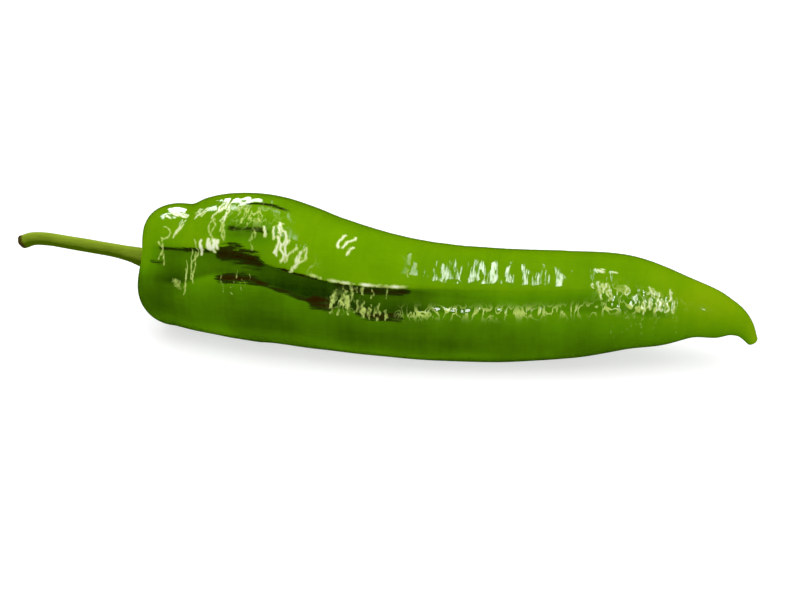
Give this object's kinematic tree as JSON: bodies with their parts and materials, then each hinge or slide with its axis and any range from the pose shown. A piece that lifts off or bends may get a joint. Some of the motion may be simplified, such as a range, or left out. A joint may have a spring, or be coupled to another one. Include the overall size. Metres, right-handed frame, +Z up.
{
  "type": "chilli pepper",
  "caption": "Long green chilli pepper lying on its side: a tapering lobed pod with a hooked tip, a small calyx sunk in its shoulder and a cut stem.",
  "frame": {"origin": "under the middle of the whole pepper's box, on the surface that it lies on", "axes": "+X along the pepper from the stem's cut end towards the pod's tip; +Z up from the surface that it lies on"},
  "size_m": [0.217, 0.0436, 0.0418],
  "materials": {
    "skin": "waxy glossy green skin",
    "calyx": "matt green, leafy",
    "stem": "satin yellow-green, ribbed"
  },
  "bodies": {
    "root": {"pod": "skin", "calyx": "calyx", "stem": "stem"}
  },
  "joints": []
}
